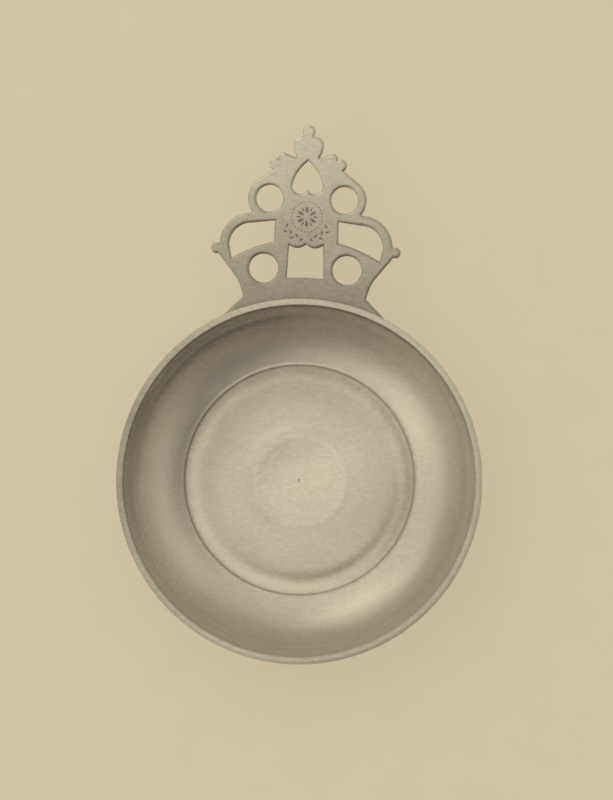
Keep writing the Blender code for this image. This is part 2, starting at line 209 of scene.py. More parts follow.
# Room that the silver reflects: soft panels as (azimuth, angle from overhead, spread in degrees, brightness)
ROOM_PANELS = (
    (0, 0, 30, 0.42),
    (0, 0, 85, 0.45),
    (122, 82, 48, 1.64),
    (165, 28, 14, 0.12),
    (30, 23, 14, 0.45),
    (205, 64, 40, 0.80),
    (30, 70, 36, 0.40),
    (14, 40, 24, -0.48),
    (250, 66, 22, -0.40),
    (300, 65, 36, -0.95),
    (325, 27, 18, -0.22),
)

# Soft lamp: azimuth and angle from overhead, in degrees
KEY_AT = (128, 12)

# Floor, which turns up round its edge
FLOOR_RADIUS = 6.0
COVE_WIDTH = 2.0
COVE_HEIGHT = 1.0
FLOOR_MOTTLING = 0.96  # darkest part of the mottling, as a share of the floor's colour

# Fineness: lengths of the steps along curves, then counts of steps
OUTLINE_STEP = 0.0005
ENGRAVING_STEP = 0.0006
FILLET_STEP = 0.0002
LIP_STEP = 0.00012
FOOT_EDGE_STEP = 0.0001
COVE_STEP = 0.2
MARK_RINGS = 6
DOME_RINGS = 60
SHOULDER_STEPS = 16
WALL_STEPS = 56
COLLAR_STEPS = 6
WIRE_STEPS = 24
FOOT_SEAT_STEPS = 8
ROOT_SOLDER_STEPS = 48
FLOOR_STEPS = 96
EDGE_STEPS = 5

# Shaping
MARK_REACH = 1.4  # compass mark's outermost ring, in mark radii
SHOULDER_TURN = 64  # degrees of the shoulder's oval that stand over its fillet
EDGE_BEVEL = 1.4  # 1 rounds the handle's edges to an oval, 2 bevels them
EDGE_BORDER = 1.2  # inner side of the flat border within each edge, in edge widths
EDGE_MITRE = 1.15  # how far corners of the filed edges go in at most, in depths
FOLD_LIMIT = 0.998  # least distance of a moved loop from its start, in depths
POINT_MERGE = 0.00004  # points of a chain that are nearer to each other are one
PLATE_SCALE = 1000.0  # the handle's plate is filled in millimetres, in which its thin rings stay apart


def length(name, description, default):
    """Property in metres."""
    return FloatProperty(
        name=name, description=description, default=default, min=0.0, precision=5, unit="LENGTH"
    )


def share(name, description, default):
    """Property that is a plain number."""
    return FloatProperty(name=name, description=description, default=default, min=0.0, max=4.0, precision=3)


def angle(name, description, degrees):
    """Property that is given and shown in degrees."""
    return FloatProperty(name=name, description=description, default=math.radians(degrees), subtype="ANGLE")


def colour(name, description, default):
    """Property that is a colour."""
    return FloatVectorProperty(
        name=name, description=description, default=default, min=0.0, max=1.0, size=3, subtype="COLOR"
    )


class BowlSizes(PropertyGroup):
    """Sizes of the bowl, its rim wire and its foot; radii and levels are of the bowl's inner face"""

    height: length("Height", "Table to the top of the rim wire", RIM_HIGH.z)
    sheet: length("Sheet", "Thickness of the silver sheet", 0.0007)
    belly_radius: length("Belly radius", "Inner radius at the widest place", 0.0674)
    belly_level: length("Belly level", "Height of the widest place", 0.0290)
    neck_inset: length("Neck inset", "Belly radius less neck radius", 0.0048)
    neck_round: length("Neck rounding", "Height of the rounding above and below the neck", 0.0009)
    collar_height: length("Collar height", "Neck to the top of the rim wire", 0.0065)
    collar_flare: length("Collar flare", "How far the collar opens from neck to lip", 0.0038)
    lip_drop: length("Lip drop", "Top of the rim wire down to the lip", 0.00015)
    dome_radius: length("Dome radius", "Radius of the raised floor", 0.0442)
    dome_rise: length("Dome rise", "Shoulder to where the dome's middle would be without the dish", 0.0046)
    shoulder_height: length("Shoulder height", "Trough to the dome's shoulder", 0.0006)
    shoulder_width: length("Shoulder width", "Width of the dome's rounded shoulder", 0.0052)
    shoulder_fillet: length("Shoulder fillet", "Rounding where the shoulder meets the trough", 0.0004)
    shoulder_blend: length("Shoulder blend", "Softness of the bend where the dome meets its shoulder", 0.0005)
    dish_radius: length("Dish radius", "Radius of the hollow in the top of the dome", 0.0170)
    dish_depth: length("Dish depth", "Depth of the hollow in the top of the dome", 0.0009)
    dish_round: length("Dish rounding", "Width of the rounded ridge about the dish", 0.0056)
    mark_radius: length("Mark radius", "Radius of the compass mark in the middle", 0.0007)
    mark_depth: length("Mark depth", "Depth of the compass mark in the middle", 0.0003)
    trough_width: length("Trough width", "Flat gutter between the dome and the wall", 0.0004)
    wall_start: angle("Wall start", "Turn on the wall's oval at which it leaves the trough", 25.0)
    wire_height: length("Rim wire height", "Height of the half-oval rim wire", 0.0023)
    foot_height: length("Foot height", "Table to the underside of the trough", 0.0023)
    foot_setout: length("Foot set-out", "Trough's outer edge to the ring's inner face", 0.0024)
    foot_width: length("Foot width", "Width of the foot ring", 0.0028)
    foot_splay: length("Foot splay", "How far the ring leans out at the table", 0.0005)
    foot_edge: length("Foot edge", "Rounding of the ring's edges on the table", 0.0004)
    solder_leg: length("Solder leg", "Leg of the solder fillet inside the foot", 0.0010)
    lap: length("Solder lap", "How far soldered pieces run into each other", 0.00005)
    turn_steps: IntProperty(name="Turn steps", description="Facets round the bowl", default=224, min=32)


class HandleSizes(PropertyGroup):
    """Sizes of the cast handle and of the solder under its root"""

    reach: length("Reach", "Rim to the tip of the finial", HANDLE_HIGH.y - RIM_HIGH.y)
    top: length("Top level", "Height of the handle's upper face", HANDLE_HIGH.z)
    root_thickness: length("Root thickness", "Thickness at the bowl", HANDLE_HIGH.z - HANDLE_LOW.z)
    tip_thickness: length("Tip thickness", "Thickness at the finial", 0.0024)
    edge_width: length("Edge width", "Width of the filed rounding on each edge", 0.00110)
    edge_height: length("Edge height", "Height of the filed rounding on each edge", 0.00070)
    cut_depth: length("Cut depth", "Depth of the engraved strokes", 0.00022)
    solder_leg: length("Solder leg", "How far the solder runs out under the root", 0.0015)
    solder_drop: length("Solder drop", "How far the solder runs down the collar", 0.0011)


class SilverFinish(PropertyGroup):
    """Colours and surface of the silver"""

    bright: colour("Bright silver", "Silver where it is rubbed", (0.84, 0.81, 0.76))
    # Colour of tarnish, which also colours the painted shade
    tarnish_and_shade: colour("Tarnished silver", "Silver where it is never rubbed", (0.285, 0.268, 0.240))
    solder: colour("Solder", "Silver solder, greyer than the sheet", (0.66, 0.64, 0.58))
    bowl_roughness: share("Bowl roughness", "Roughness of the polished sheet", 0.40)
    wire_roughness: share("Wire roughness", "Roughness of the rim wire", 0.62)
    foot_roughness: share("Foot roughness", "Roughness of the foot ring", 0.70)
    handle_roughness: share("Handle roughness", "Roughness of the cast handle", 0.36)
    solder_roughness: share("Solder roughness", "Roughness of the solder", 0.42)
    dulling: share("Dulling", "Roughness that full tarnish adds", 0.20)
    hammer_size: length("Hammer mark size", "Width of one planishing mark", 0.0095)
    hammer_depth: length("Hammer mark depth", "Depth of the planishing marks", 0.00012)
    scratch_depth: length("Scratch depth", "Depth of the fine polishing lines", 0.000006)


class StudioStage(PropertyGroup):
    """Floor, light and camera"""

    floor: colour("Floor", "Colour of the floor and the background", (0.64, 0.55, 0.38))
    room: colour("Room", "Colour of the room that the silver reflects", (0.61, 0.565, 0.44))
    glow: share("Floor glow", "Share of the floor's paleness that lies over the object's shadow", 0.80)
    horizon: share("Horizon", "Brightness of the room that the silver reflects, at its horizon", 0.62)
    dark_side: share("Dark side", "Least brightness of the room that the silver reflects", 0.06)
    key_radiance: share("Key radiance", "Brightness of the soft lamp over the floor", 2.7)
    key_size: length("Key size", "Side of the soft lamp over the floor", 1.4)
    key_distance: length("Key distance", "Bowl to the soft lamp over the floor", 1.7)
    camera_height: length("Camera height", "Rim to the camera", 3.0)
    frame_height: length("Frame height", "Height of the picture at the rim", 0.3009)
    frame_middle: FloatVectorProperty(
        name="Frame middle",
        description="Place under the picture's middle",
        default=(0.00183, -0.00191),
        size=2,
        precision=5,
        unit="LENGTH",
    )
    lean: angle("Lean", "Turn of the picture", 1.65)


def on_circle(centre, radius, degrees):
    """Point on a circle, at an angle from +X."""
    turn = math.radians(degrees)
    return (centre[0] + radius * math.cos(turn), centre[1] + radius * math.sin(turn))


def arc(centre, radius, start, end, step=OUTLINE_STEP):
    """Points on a circle from one angle to another, in degrees."""
    count = max(3, math.ceil(math.radians(abs(end - start)) * radius / step))
    return [on_circle(centre, radius, start + (end - start) * i / count) for i in range(count + 1)]


def curve(start, control, end, step=OUTLINE_STEP):
    """Points on a parabola that leaves start towards control and comes from it to end."""
    count = max(3, math.ceil((math.dist(start, control) + math.dist(control, end)) / step))
    points = []
    for i in range(count + 1):
        t = i / count
        points.append(tuple(Vector(start).lerp(control, t).lerp(Vector(control).lerp(end, t), t)))
    return points


def bulged(start, end, bulge, step=OUTLINE_STEP):
    """Points on a curve over a chord, which stands off it to the left by bulge in the middle."""
    chord = Vector(end) - Vector(start)
    left = Vector((-chord.y, chord.x)).normalized()
    return curve(start, tuple(Vector(start) + chord / 2 + left * 2 * bulge), end, step)


def joined(*stretches):
    """One chain of points, without the doubles where stretches meet."""
    chain = []
    for point in (p for stretch in stretches for p in stretch):
        if not chain or math.dist(point, chain[-1]) > POINT_MERGE:
            chain.append(tuple(point))
    return chain


def mirrored(points):
    """The chain's other half, run the other way."""
    return [(-x, y) for x, y in reversed(points)]


def set_off(points, depth, mitre=3.0):
    """The chain moved to its right by depth; corners go out by mitre times depth at most."""
    moved = []
    for i, point in enumerate(points):
        before = Vector(point) - Vector(points[max(0, i - 1)])
        after = Vector(points[min(len(points) - 1, i + 1)]) - Vector(point)
        before = (before if before.length else after).normalized()
        after = (after if after.length else before).normalized()
        along = (before + after).normalized()
        right = Vector((along.y, -along.x))
        moved.append(tuple(Vector(point) + right * depth / max(1 / mitre, along.dot(after))))
    return moved


def trough_level(sizes):
    """Height of the trough's inner face."""
    return sizes.foot_height + sizes.sheet


def trough_radius(sizes):
    """Radius of the trough's outer edge."""
    return sizes.dome_radius + sizes.trough_width


def neck_level(sizes):
    """Height of the narrowest place over the belly."""
    return sizes.height - sizes.collar_height


def floor_profile(sizes):
    """Inner face of the floor from the middle out: compass mark, dish, dome, shoulder and trough."""
    shoulder_radius = sizes.dome_radius - sizes.shoulder_width
    low = trough_level(sizes)

    def dome(radius):
        return low + sizes.shoulder_height + sizes.dome_rise * (1 - (radius / shoulder_radius) ** 2)

    def over_shoulder(radius, shoulder):
        above = dome(radius) - shoulder
        return shoulder + (above + math.hypot(above, sizes.shoulder_blend)) / 2

    def level(radius):
        dish = dome(sizes.dish_radius) - sizes.dish_depth * (1 - (radius / sizes.dish_radius) ** 2)
        inward = min(1.0, max(0.0, (sizes.dish_radius - radius) / sizes.dish_round + 0.5))
        mark = sizes.mark_depth * math.exp(-((2 * radius / sizes.mark_radius) ** 2))
        cap = over_shoulder(radius, low + sizes.shoulder_height)
        return cap + (dish - dome(radius)) * inward**2 * (3 - 2 * inward) - mark

    mark = [MARK_REACH * sizes.mark_radius * i / MARK_RINGS for i in range(MARK_RINGS)]
    rings = [shoulder_radius * i / DOME_RINGS for i in range(2, DOME_RINGS)]
    shoulder = []
    for i in range(SHOULDER_STEPS + 1):
        turn = math.radians(SHOULDER_TURN) * i / SHOULDER_STEPS
        radius = shoulder_radius + sizes.shoulder_width * math.sin(turn)
        shoulder.append((radius, over_shoulder(radius, low + sizes.shoulder_height * math.cos(turn))))
    corner = (sizes.dome_radius, low)
    fillet_end = (sizes.dome_radius + sizes.shoulder_fillet, low)
    return joined(
        [(radius, level(radius)) for radius in mark + rings],
        shoulder,
        curve(shoulder[-1], corner, fillet_end, FILLET_STEP),
        [(trough_radius(sizes), low)],
    )


def wall_across(sizes):
    """Half width of the wall's ovals, which share their widest place at the belly."""
    return (sizes.belly_radius - trough_radius(sizes)) / (1 - math.sin(sizes.wall_start))


def wall_rise(sizes, turn):
    """Half height of the wall's oval under the belly, or of the one over it."""
    if turn < math.pi / 2:
        return (sizes.belly_level - trough_level(sizes)) / math.cos(sizes.wall_start)
    reach = 1 - sizes.neck_inset / wall_across(sizes)
    return (neck_level(sizes) - sizes.belly_level) / math.sqrt(1 - reach**2)


def wall_point(sizes, turn, depth=0.0):
    """Point on the wall's inner face or depth outside it; turn is pi / 2 at the belly."""
    across = wall_across(sizes)
    rise = wall_rise(sizes, turn)
    outward = Vector((rise * math.sin(turn), -across * math.cos(turn))).normalized()
    radius = sizes.belly_radius - across * (1 - math.sin(turn)) + depth * outward.x
    return (radius, sizes.belly_level - rise * math.cos(turn) + depth * outward.y)


def under_wall(sizes, radius):
    """Point on the underside of the wall below the belly, by inner radius, sunk by the solder's lap."""
    turn = math.asin(1 - (sizes.belly_radius - radius) / wall_across(sizes))
    return wall_point(sizes, turn, sizes.sheet - sizes.lap)


def collar_point(sizes, level):
    """Point on the collar's inner face at a height."""
    neck_radius = sizes.belly_radius - sizes.neck_inset
    return (neck_radius + (level - neck_level(sizes)) * sizes.collar_flare / sizes.collar_height, level)


def wall_profile(sizes):
    """Inner face of the wall, neck and collar, from the trough up to the lip."""
    last = math.acos((sizes.belly_level - neck_level(sizes) + sizes.neck_round) / wall_rise(sizes, math.pi))
    first = sizes.wall_start
    wall = [wall_point(sizes, first + (last - first) * i / WALL_STEPS) for i in range(WALL_STEPS + 1)]
    neck = collar_point(sizes, neck_level(sizes))
    collar_start = collar_point(sizes, neck_level(sizes) + sizes.neck_round)
    collar_end = collar_point(sizes, sizes.height - sizes.lip_drop - sizes.sheet / 2)
    collar = [Vector(collar_start).lerp(collar_end, i / COLLAR_STEPS) for i in range(COLLAR_STEPS + 1)]
    return joined(wall, curve(wall[-1], neck, collar_start, FILLET_STEP), collar)


def outside_radius(sizes, level, lap=0.0):
    """Outer radius of the bowl at a height over the belly, less lap."""
    outside = [p for p in set_off(wall_profile(sizes), sizes.sheet - lap) if p[1] > sizes.belly_level]
    for (low_radius, low), (high_radius, high) in zip(outside, outside[1:]):
        if low <= level <= high:
            return low_radius + (high_radius - low_radius) * (level - low) / (high - low)
    return outside[-1][0]


def amount_near(point, place, amount, width):
    """Tarnish or painted shade at a point: the whole amount at a place of the profile, and none a few widths
    away from it.
    """
    return amount * math.exp(-((math.dist(point, place) / width) ** 2))


def turned(profile, closed, steps, tarnish):
    """A bmesh whose (radius, height) profile turns a full circle about the bowl's axis."""
    work = bmesh.new()
    # This layer carries tarnish and painted shade, and painted highlights are added to it after the spin
    layer = work.verts.layers.float.new("tarnish")
    chain = []
    for radius, level in profile:
        vertex = work.verts.new((radius, 0.0, level))
        vertex[layer] = tarnish((radius, level))
        chain.append(vertex)
    for start, end in zip(chain, chain[1:] + chain[:1] if closed else chain[1:]):
        work.edges.new((start, end))
    geometry = work.verts[:] + work.edges[:]
    bmesh.ops.spin(
        work, geom=geometry, cent=(0, 0, 0), axis=(0, 0, 1), angle=2 * math.pi, steps=steps, use_merge=True
    )
    bmesh.ops.remove_doubles(work, verts=work.verts[:], dist=1e-7)
    bmesh.ops.recalc_face_normals(work, faces=work.faces[:])
    bmesh.ops.translate(work, verts=work.verts[:], vec=BOWL_AXIS)
    return work


def paint_side_light(work, azimuth, amount, place, width):
    """Adds painted shade near a place of the profile, most at an azimuth and none on the far side; an amount
    below 0 paints a highlight.
    """
    layer = work.verts.layers.float["tarnish"]
    towards = Vector((math.cos(math.radians(azimuth)), math.sin(math.radians(azimuth))))
    for vertex in work.verts:
        out = (vertex.co - BOWL_AXIS).xy
        if out.length:
            side = max(0.0, out.normalized().dot(towards)) ** 2
            vertex[layer] += side * amount_near((out.length, vertex.co.z), place, amount, width)


def finish_piece(name, work, material, node, crease=40):
    """Makes the mesh an object that rides on the part and stands for one of its solids."""
    for face in work.faces:
        face.smooth = True
    mesh = bpy.data.meshes.new(name)
    work.to_mesh(mesh)
    work.free()
    mesh.set_sharp_from_angle(angle=math.radians(crease))
    mesh.materials.append(material)
    piece = bpy.data.objects.new(name, mesh)
    bpy.context.scene.collection.objects.link(piece)
    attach(piece, "root")
    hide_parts(node)


def add_node(tree, kind, settings=None, **sockets):
    """Adds a node; each socket gets a number, a colour or another node's output."""
    made = tree.nodes.new(kind)
    for name, value in (settings or {}).items():
        setattr(made, name, value)
    for name, value in sockets.items():
        feed(tree, made.inputs[name.replace("_", " ")], value)
    return made


def feed(tree, socket, value):
    """Links a socket to another node's output, or sets it to a value."""
    if isinstance(value, bpy.types.NodeSocket):
        tree.links.new(value, socket)
    else:
        socket.default_value = value


def calculate(tree, operation, *values):
    """Output of a Math node over one, two or three values."""
    made = add_node(tree, "ShaderNodeMath", {"operation": operation})
    for socket, value in zip(made.inputs, values):
        feed(tree, socket, value)
    return made.outputs[0]


def blended(tree, factor, first, second):
    """Colour between two, by a factor."""
    made = add_node(tree, "ShaderNodeMix", {"data_type": "RGBA"})
    colours = [socket for socket in made.inputs if socket.type == "RGBA"]
    feed(tree, made.inputs[0], factor)
    feed(tree, colours[0], first)
    feed(tree, colours[1], second)
    return next(socket for socket in made.outputs if socket.type == "RGBA")


def spread(tree, value, low, high, to_low, to_high, smooth=True):
    """Value carried from one range into another, and held at its ends."""
    settings = {"interpolation_type": "SMOOTHSTEP" if smooth else "LINEAR", "clamp": True}
    made = add_node(tree, "ShaderNodeMapRange", settings, Value=value)
    for name, number in (("From Min", low), ("From Max", high), ("To Min", to_low), ("To Max", to_high)):
        feed(tree, made.inputs[name], number)
    return made.outputs["Result"]


def opaque(rgb):
    """Colour with full alpha."""
    return (*rgb, 1.0)


def patterned(tree, amount, where, scale, detail, roughness, depth):
    """Amount of tarnish with a pattern of noise added, as much below 0 as above it."""
    noise = add_node(
        tree, "ShaderNodeTexNoise", Vector=where, Scale=scale, Detail=detail, Roughness=roughness
    ).outputs[0]
    return calculate(tree, "MULTIPLY_ADD", calculate(tree, "SUBTRACT", noise, 0.5), depth, amount)


def silver_material(name, base, roughness, hammered=0.0, lines="drawn", overall=0.10, shade_to_root=False):
    """Silver with patterns of tarnish, tarnish kept in recesses and joints, painted shade and painted
    highlights, planishing marks and fine lines.

    Its last flag adds painted shade that lessens from the handle's root to its tip.
    """
    finish = bpy.context.scene.porringer_finish
    handle = bpy.context.scene.porringer_handle
    material = bpy.data.materials.new(name)
    material.use_nodes = True
    tree = material.node_tree
    shader = tree.nodes["Principled BSDF"]
    shader.inputs["Metallic"].default_value = 1.0
    place = add_node(tree, "ShaderNodeTexCoord").outputs["Object"]
    from_axis = add_node(tree, "ShaderNodeMapping", Vector=place, Location=-BOWL_AXIS).outputs[0]
    along = add_node(tree, "ShaderNodeMapping", Vector=place, Rotation=RUB_TURN, Scale=RUB_STRETCH).outputs[0]
    amount = overall
    for pattern, where in ((CLOUDS, from_axis), (SPECKS, from_axis), (RUBS, along)):
        amount = patterned(tree, amount, where, *pattern)
    # Vertex attribute: tarnish kept in recesses and joints, painted shade under the neck and on one side,
    # painted highlights on the other
    tarnish_and_painted_light = add_node(tree, "ShaderNodeAttribute", {"attribute_name": "tarnish"}).outputs["Fac"]
    amount = calculate(tree, "ADD", amount, tarnish_and_painted_light)
    parts = add_node(tree, "ShaderNodeSeparateXYZ", Vector=from_axis).outputs
    # Painted shade, darker towards the handle's root
    if shade_to_root:
        root = RIM_RADIUS - ROOT_DEPTH
        tip = RIM_RADIUS + handle.reach
        painted_root_shade = spread(tree, parts["Y"], root, tip, HANDLE_ROOT_PAINTED_SHADE, HANDLE_TIP_PAINTED_SHADE, False)
        amount = calculate(tree, "ADD", amount, painted_root_shade)
    amount.node.use_clamp = True
    silver = blended(tree, amount, opaque(base), opaque(finish.tarnish_and_shade))
    dulled = spread(tree, amount, 0.0, 1.0, roughness, roughness + finish.dulling, False)
    tree.links.new(silver, shader.inputs["Base Color"])
    tree.links.new(dulled, shader.inputs["Roughness"])
    bump = None
    if hammered:
        marks = add_node(
            tree, "ShaderNodeTexVoronoi", {"feature": "SMOOTH_F1"}, Vector=from_axis,
            Scale=1 / finish.hammer_size, Smoothness=0.9, Randomness=0.85,
        ).outputs["Distance"]
        bump = add_node(
            tree, "ShaderNodeBump", Strength=1.0, Distance=finish.hammer_depth * hammered, Height=marks
        ).outputs[0]
    if lines == "round":
        flat = add_node(tree, "ShaderNodeCombineXYZ", X=parts["X"], Y=parts["Y"]).outputs[0]
        radius = add_node(tree, "ShaderNodeVectorMath", {"operation": "LENGTH"}, Vector=flat).outputs["Value"]
        scratches = add_node(
            tree, "ShaderNodeTexNoise", {"noise_dimensions": "1D"}, W=radius, **ROUND_LINES
        ).outputs[0]
    else:
        across = add_node(tree, "ShaderNodeMapping", Vector=place, Rotation=DRAWN_TURN, Scale=DRAWN_STRETCH)
        scratches = add_node(tree, "ShaderNodeTexNoise", Vector=across.outputs[0], **DRAWN_LINES).outputs[0]
    fine = add_node(tree, "ShaderNodeBump", Strength=1.0, Distance=finish.scratch_depth, Height=scratches)
    if bump:
        tree.links.new(bump, fine.inputs["Normal"])
    tree.links.new(fine.outputs[0], shader.inputs["Normal"])
    return material


class PORRINGER_OT_bowl(Operator):
    """Turns the bowl, one sheet with a domed floor, a belly, a neck and a flared collar"""

    bl_idname = "porringer.add_bowl"
    bl_label = "Raised bowl"

    def execute(self, context):
        sizes = context.scene.porringer_bowl
        finish = context.scene.porringer_finish
        inner = joined(floor_profile(sizes), wall_profile(sizes))
        outer = set_off(inner, sizes.sheet)
        outer[0] = (0.0, inner[0][1] - sizes.sheet)
        lip = Vector(inner[-1]).lerp(outer[-1], 0.5)
        start = math.degrees(math.atan2(inner[-1][1] - lip.y, inner[-1][0] - lip.x))
        lip_round = arc(lip, sizes.sheet / 2, start, start - 180, LIP_STEP)
        dome_edge = (sizes.dome_radius, trough_level(sizes))
        neck = (sizes.belly_radius - sizes.neck_inset, neck_level(sizes))
        foot = (trough_radius(sizes) + sizes.foot_setout + sizes.foot_width, sizes.foot_height)
        inside = set(inner)

        def tarnish(point):
            amount = amount_near(point, neck, *NECK_TARNISH)
            amount += amount_near(point, lip, LIP_TARNISH, sizes.sheet)
            if point in inside:
                # Painted shade and tarnish under the neck's overhang
                amount += amount_near(point, UNDER_NECK, *OVERHANG_SHADE_AND_TARNISH)
                return amount + amount_near(point, dome_edge, *TROUGH_TARNISH)
            if point[0] < trough_radius(sizes):
                amount += UNDERSIDE_TARNISH
            return amount + OUTSIDE_TARNISH + amount_near(point, foot, *FOOT_JOINT_TARNISH)

        work = turned(joined(inner, lip_round, reversed(outer)), False, sizes.turn_steps, tarnish)
        # Painted shade on one side of the bowl's inside, painted highlights on the other
        for side in SIDE_PAINTED_LIGHT:
            paint_side_light(work, *side)
        material = silver_material(
            "raised_silver", finish.bright, finish.bowl_roughness, hammered=1.0, lines="round"
        )
        finish_piece("raised_bowl", work, material, "bowl")
        return {"FINISHED"}


class PORRINGER_OT_rim_wire(Operator):
    """Turns the half-oval wire that is soldered round the lip"""

    bl_idname = "porringer.add_rim_wire"
    bl_label = "Rim wire"

    def execute(self, context):
        sizes = context.scene.porringer_bowl
        finish = context.scene.porringer_finish
        low = sizes.height - sizes.wire_height
        middle = outside_radius(sizes, sizes.height - sizes.wire_height / 2)
        depth = RIM_RADIUS - middle
        profile = []
        for i in range(WIRE_STEPS + 1):
            turn = math.pi / 2 - math.pi * i / WIRE_STEPS
            level = sizes.height - sizes.wire_height / 2 * (1 - math.sin(turn))
            seat = outside_radius(sizes, level, sizes.lap)
            profile.append((seat + (depth + middle - outside_radius(sizes, level)) * math.cos(turn), level))
        corner = (middle, low)
        work = turned(
            profile, True, sizes.turn_steps, lambda point: amount_near(point, corner, *WIRE_JOINT_TARNISH)
        )
        # Painted shade on the rim wire's left side
        paint_side_light(work, *RIM_SIDE_PAINTED_SHADE)
        material = silver_material(
            "drawn_silver", finish.bright, finish.wire_roughness, lines="round", overall=0.14
        )
        finish_piece("rim_band", work, material, "rim_wire", crease=70)
        return {"FINISHED"}


class PORRINGER_OT_foot(Operator):
    """Turns the foot ring and the fillet of solder inside it"""

    bl_idname = "porringer.add_foot"
    bl_label = "Foot ring and its solder"

    def execute(self, context):
        sizes = context.scene.porringer_bowl
        finish = context.scene.porringer_finish
        inner_radius = trough_radius(sizes) + sizes.foot_setout
        step = sizes.foot_width / FOOT_SEAT_STEPS
        seat = [under_wall(sizes, inner_radius + step * i) for i in range(FOOT_SEAT_STEPS + 1)]
        edge = sizes.foot_edge
        outer_base = (seat[-1][0] + sizes.foot_splay, 0.0)
        inner_base = (seat[0][0], 0.0)
        outer_start = tuple(Vector(outer_base).lerp(seat[-1], edge / math.dist(outer_base, seat[-1])))
        profile = joined(
            seat,
            curve(outer_start, outer_base, (outer_base[0] - edge, 0.0), FOOT_EDGE_STEP),
            curve((inner_base[0] + edge, 0.0), inner_base, (inner_base[0], edge), FOOT_EDGE_STEP),
        )

        def tarnish(point):
            return FOOT_TOP_TARNISH * min(1.0, max(0.0, point[1] / sizes.foot_height))

        work = turned(profile, True, sizes.turn_steps, tarnish)
        wire = silver_material("drawn_silver_foot", finish.bright, finish.foot_roughness, lines="round")
        finish_piece("foot_band", work, wire, "foot_ring")

        corner = under_wall(sizes, inner_radius + sizes.lap)
        low = (corner[0], corner[1] - sizes.solder_leg)
        far = under_wall(sizes, inner_radius - sizes.solder_leg)
        hollow = tuple((Vector(corner) * 2 + Vector(low) + Vector(far)) / 4)
        fillet = joined([corner], curve(low, hollow, far, FILLET_STEP))
        work = turned(fillet, True, sizes.turn_steps, lambda point: SOLDER_TARNISH)
        solder = silver_material("foot_solder", finish.solder, finish.solder_roughness)
        finish_piece("foot_solder_fillet", work, solder, "foot_solder_seam")
        return {"FINISHED"}


def right_edge():
    """Right half of the handle's outer edge, from the top of the finial to the waist at the rim."""
    urn_lobe = arc(URN_LOBE_AT, URN_LOBE_RADIUS, *URN_LOBE_ARC)
    leaf_lobe = arc(LEAF_LOBE_AT, LEAF_LOBE_RADIUS, *LEAF_LOBE_ARC)
    return joined(
        arc(FINIAL_BALL_AT, FINIAL_BALL_RADIUS, *FINIAL_BALL_ARC),
        urn_lobe,
        curve(urn_lobe[-1], URN_WAIST, LEAF_NOTCH),
        curve(LEAF_NOTCH, LEAF_SWEEP, leaf_lobe[0]),
        leaf_lobe,
        arc(LEAF_HOOK_AT, LEAF_HOOK_RADIUS, *LEAF_HOOK_ARC),
        arc(UPPER_HOLE_AT, UPPER_HOLE_RADIUS + UPPER_BAND, *UPPER_BAND_ARC),
        arc(LOOP_AT, LOOP_INNER_RADIUS + LOOP_BAND, *LOOP_BAND_ARC),
        arc(KNOB_AT, KNOB_RADIUS, *KNOB_ARC),
        curve(FLANK_AT, FLANK_BEND, WAIST_AT),
    )


def outer_edge(seat):
    """The handle's whole outer edge: the two halves, and the root that hugs the collar at radius seat."""
    right = right_edge()
    axis = (0.0, -RIM_RADIUS)
    first, last = 90 - ROOT_HALF_ANGLE, 90 + ROOT_HALF_ANGLE
    return joined(
        right,
        [on_circle(axis, RIM_RADIUS, first)],
        arc(axis, seat, first, last),
        [on_circle(axis, RIM_RADIUS, last)],
        mirrored(right)[:-1],
    )


def heart():
    """Heart with its point to the finial and its lobes to the bowl."""
    radius = math.dist(HEART_LOBE_AT, (0.0, HEART_CUSP))
    cusp_angle = math.degrees(math.atan2(HEART_CUSP - HEART_LOBE_AT[1], -HEART_LOBE_AT[0]))
    lobe = arc(HEART_LOBE_AT, radius, HEART_LOBE_START, cusp_angle)
    right = joined(curve((0.0, HEART_TIP), HEART_CHEEK, lobe[0]), lobe)
    return right + mirrored(right)[1:-1]


def loop_opening():
    """Right side opening: a straight inner side, an arched sill and a round outer shoulder."""
    return joined(
        [LOOP_TOP_CORNER],
        bulged(LOOP_LOW_CORNER, LOOP_OUTER_CORNER, LOOP_SILL_BULGE),
        arc(LOOP_AT, LOOP_INNER_RADIUS, 0, 90),
    )


def window():
    """Square opening with two scallops above and a sill that follows the bowl."""
    sill_radius = RIM_RADIUS + WINDOW_SILL
    sill_angle = math.degrees(math.asin(WINDOW_SILL_HALF_WIDTH / sill_radius))
    sill = arc((0.0, -RIM_RADIUS), sill_radius, 90 - sill_angle, 90)
    corner = (WINDOW_TOP_HALF_WIDTH, WINDOW_TOP)
    right = bulged((0.0, WINDOW_CUSP), corner, -WINDOW_SCALLOP_DROP) + sill
    return right + mirrored(right)[1:-1]


def piercings():
    """Every opening of the handle, as closed loops."""
    right = [
        arc(UPPER_HOLE_AT, UPPER_HOLE_RADIUS, 0, 360)[:-1],
        arc(LOWER_HOLE_AT, LOWER_HOLE_RADIUS, 0, 360)[:-1],
        loop_opening(),
    ]
    return [heart(), window(), *right, *(mirrored(points) for points in right)]


def stroke(start, end, width):
    """Closed lens between two points, as a graver leaves it."""
    half = width / 2
    return bulged(start, end, half, ENGRAVING_STEP)[:-1] + bulged(end, start, half, ENGRAVING_STEP)[:-1]


def ends(middle, reach, degrees):
    """The two ends of a stroke that lies at an angle about its middle."""
    return on_circle(middle, -reach / 2, degrees), on_circle(middle, reach / 2, degrees)


